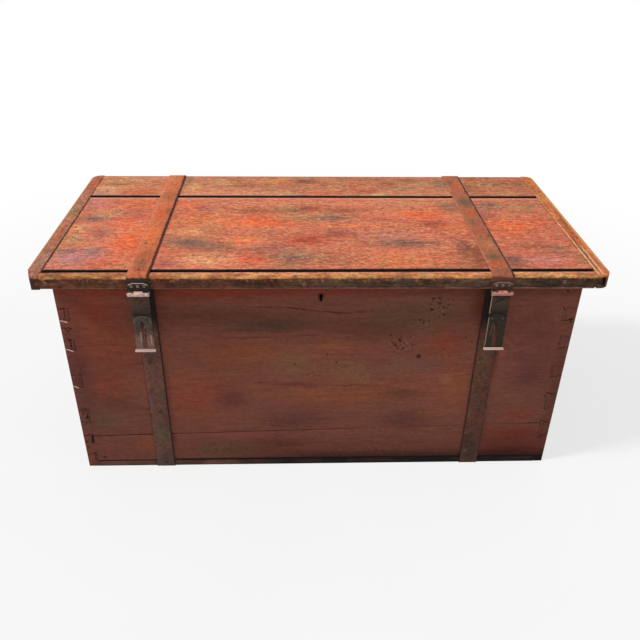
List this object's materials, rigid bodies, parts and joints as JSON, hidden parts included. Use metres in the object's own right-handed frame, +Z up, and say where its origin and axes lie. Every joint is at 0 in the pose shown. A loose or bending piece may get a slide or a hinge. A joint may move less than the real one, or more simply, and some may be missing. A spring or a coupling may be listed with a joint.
{
  "type": "dovetailed blanket trunk",
  "caption": "Flat-topped wooden trunk with dovetailed board walls, a hinged battened lid, iron straps with two hanging hasps, an inside lock and drop handles.",
  "frame": {"origin": "middle of the underside, on the middle floor board", "axes": "+X to the right along the trunk's length, +Y from front to back, +Z up"},
  "size_m": [1.12, 0.5736, 0.5106],
  "materials": {
    "body_wood": "worn matt oxblood paint on softwood boards",
    "lid_wood": "faded vermilion paint, rubbed through to bare wood",
    "painted_strap": "iron strap painted with the lid",
    "wall_iron": "brown patinated wrought iron",
    "dark_iron": "dark wrought iron, brown at the edges",
    "worn_iron": "iron rubbed bright",
    "lock_iron": "dull sheet iron",
    "nail_iron": "rusted nail heads"
  },
  "bodies": {
    "chest": {"front_wall_upper": "body_wood", "front_wall_lower": "body_wood", "back_wall_upper": "body_wood", "back_wall_lower": "body_wood", "left_end_upper": "body_wood", "left_end_lower": "body_wood", "right_end_upper": "body_wood", "right_end_lower": "body_wood", "floor_board_front": "body_wood", "floor_board_middle": "body_wood", "floor_board_back": "body_wood", "front_strap_left": "wall_iron", "back_strap_left": "wall_iron", "lid_hinge_pin_left": "worn_iron", "hasp_staple_left": "dark_iron", "handle_eyes_left": "wall_iron", "front_strap_right": "wall_iron", "back_strap_right": "wall_iron", "lid_hinge_pin_right": "worn_iron", "hasp_staple_right": "dark_iron", "handle_eyes_right": "wall_iron", "lock_case": "lock_iron", "lock_key_post": "lock_iron", "front_strap_nails": "nail_iron", "back_strap_nails": "nail_iron", "floor_nails": "nail_iron", "handle_nails": "nail_iron", "lock_nails": "nail_iron"},
    "lid": {"lid_front_strip": "lid_wood", "lid_middle_board": "lid_wood", "lid_back_board": "lid_wood", "lid_batten_left": "lid_wood", "lid_batten_right": "lid_wood", "lid_nails": "nail_iron", "lid_strap_left": "painted_strap", "lid_strap_right": "painted_strap", "lid_strap_nails": "nail_iron", "hasp_leaf_left": "dark_iron", "hasp_leaf_right": "dark_iron", "hasp_leaf_rivets": "nail_iron", "hasp_pin_left": "worn_iron", "hasp_pin_right": "worn_iron", "lock_catch": "lock_iron", "lock_catch_nails": "nail_iron"},
    "hasp_left": {"hasp_link_left": "dark_iron", "hasp_plate_left": "dark_iron", "hasp_rivets_left": "dark_iron"},
    "hasp_right": {"hasp_link_right": "dark_iron", "hasp_plate_right": "dark_iron", "hasp_rivets_right": "dark_iron"},
    "lock_bolt": {"lock_bolt": "lock_iron"},
    "handle_left": {"handle_bail_left": "dark_iron"},
    "handle_right": {"handle_bail_right": "dark_iron"}
  },
  "joints": [
    {"name": "lid_hinge", "type": "hinge", "parent": "chest", "child": "lid", "pos_m": [0, 0.26255, 0.479], "axis": [-1, 0, 0], "range_deg": [0, 110]},
    {"name": "hasp_left_hinge", "type": "hinge", "parent": "lid", "child": "hasp_left", "pos_m": [-0.348, -0.29905, 0.47345], "axis": [-1, 0, 0], "range_deg": [-16, 180]},
    {"name": "hasp_right_hinge", "type": "hinge", "parent": "lid", "child": "hasp_right", "pos_m": [0.348, -0.29905, 0.47345], "axis": [-1, 0, 0], "range_deg": [-16, 180]},
    {"name": "lock_bolt_slide", "type": "slide", "parent": "chest", "child": "lock_bolt", "axis": [1, 0, 0], "range_m": [0, 0.012]},
    {"name": "handle_left_hinge", "type": "hinge", "parent": "chest", "child": "handle_left", "pos_m": [-0.52958, 0, 0.33], "axis": [0, 1, 0], "range_deg": [0, 180]},
    {"name": "handle_right_hinge", "type": "hinge", "parent": "chest", "child": "handle_right", "pos_m": [0.52958, 0, 0.33], "axis": [0, -1, 0], "range_deg": [0, 180]}
  ]
}
